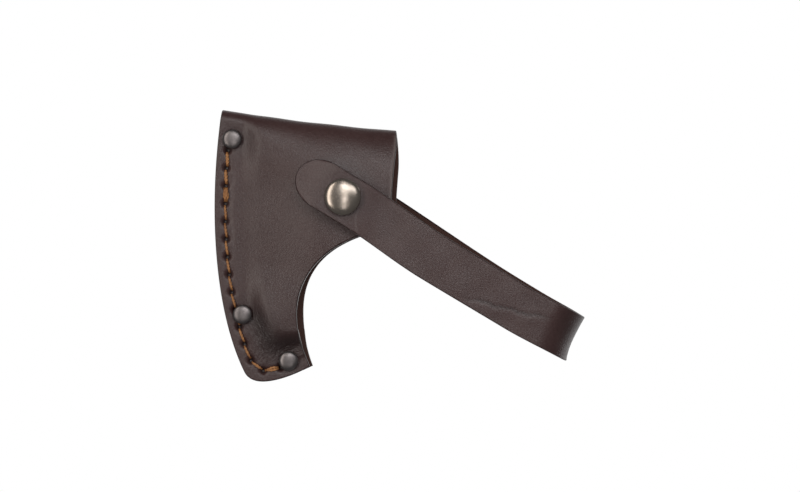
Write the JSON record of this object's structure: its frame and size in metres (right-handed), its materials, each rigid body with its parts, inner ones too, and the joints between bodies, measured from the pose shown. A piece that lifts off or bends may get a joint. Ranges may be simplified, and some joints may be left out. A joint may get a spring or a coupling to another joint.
{
  "type": "hatchet sheath",
  "caption": "Folded leather cover for a hatchet's head, with a stitched and riveted cutting-edge side and a strap that loops round the open side to a press stud.",
  "frame": {"origin": "middle of the pocket's mouth, half-way between the front and back panels, 20.6 mm below the fold's top and 20 mm above the mouth's lower corner", "axes": "+X out of the pocket's mouth, the way that the hatchet's head leaves; +Z towards the fold, so the toe points down; -Y towards the front, the side of the press stud"},
  "size_m": [0.1551, 0.0364, 0.1129],
  "materials": {
    "body_leather": "dark chocolate-brown smooth grain leather, semi-gloss",
    "welt_leather": "dark brown vegetable-tanned leather with burnished edge",
    "strap_leather": "dark chocolate-brown smooth grain leather, semi-gloss",
    "thread": "waxed tan linen thread",
    "rivet_metal": "antique nickel plate, darkened",
    "snap_metal": "antique brass plate, darkened and lightly worn",
    "spring_steel": "bright spring wire"
  },
  "bodies": {
    "sheath": {"sheath_body": "body_leather", "welt": "welt_leather", "needle_thread": "thread", "bobbin_thread": "thread", "top_rivet_cap": "rivet_metal", "top_rivet_post": "rivet_metal", "middle_rivet_cap": "rivet_metal", "middle_rivet_post": "rivet_metal", "toe_rivet_cap": "rivet_metal", "toe_rivet_post": "rivet_metal", "snap_stud": "rivet_metal", "snap_stud_post": "rivet_metal", "strap_rivet_cap": "rivet_metal", "strap_rivet_post": "rivet_metal"},
    "strap_loop": {"strap_rear": "strap_leather"},
    "strap_flap": {"strap_front": "strap_leather", "snap_cap": "snap_metal", "snap_socket": "rivet_metal", "snap_spring_ring": "spring_steel"}
  },
  "joints": [
    {"name": "strap_swing", "type": "hinge", "parent": "sheath", "child": "strap_loop", "pos_m": [-0.021, 0, -0.0074], "axis": [0, 1, 0], "range_deg": [-60, 55]},
    {"name": "strap_open", "type": "hinge", "parent": "strap_loop", "child": "strap_flap", "pos_m": [0.07542, -0.00215, -0.06556], "axis": [0.5165, 0, 0.8563], "range_deg": [0, 120]}
  ]
}
